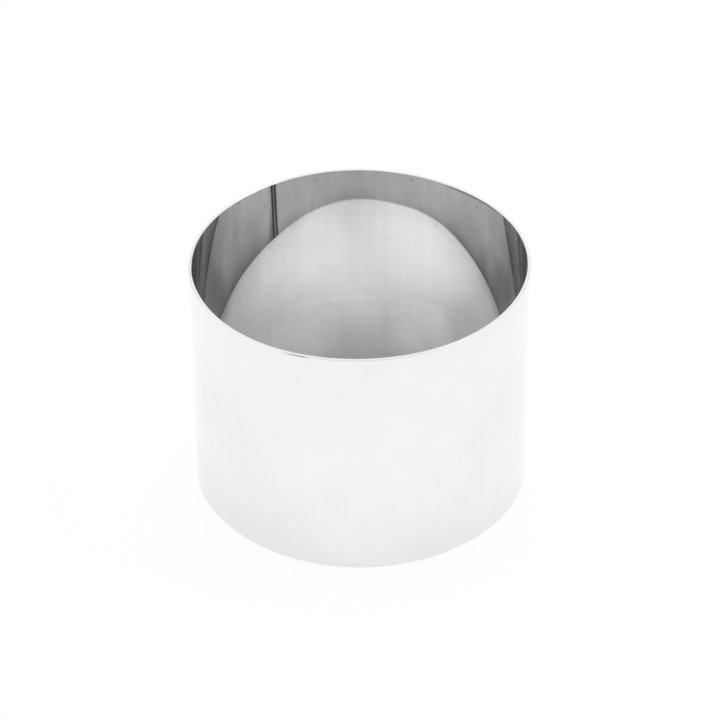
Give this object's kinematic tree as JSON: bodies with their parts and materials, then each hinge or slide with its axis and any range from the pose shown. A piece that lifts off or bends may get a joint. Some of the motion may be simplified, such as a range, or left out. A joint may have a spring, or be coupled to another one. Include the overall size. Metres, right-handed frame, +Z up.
{
  "type": "pastry ring",
  "caption": "Round bottomless steel pastry ring: a thin polished band with rounded rims, open at both ends, closed by an upright weld, for shaping cakes, mousses and tarts.",
  "frame": {"origin": "centre of the ring's open foot, on the surface that the ring stands on", "axes": "+Z up along the ring's axis, +X through the middle of the weld, +Y square to both"},
  "size_m": [0.08, 0.08, 0.06],
  "materials": {
    "polished_steel": "stainless sheet, mirror polished outside and finely satin inside, rims deburred and bright",
    "weld_steel": "melted and set stainless steel, dull and dark beside the bead, ground flush and polished outside"
  },
  "bodies": {
    "root": {"rolled_band": "polished_steel", "weld_seam": "weld_steel"}
  },
  "joints": []
}
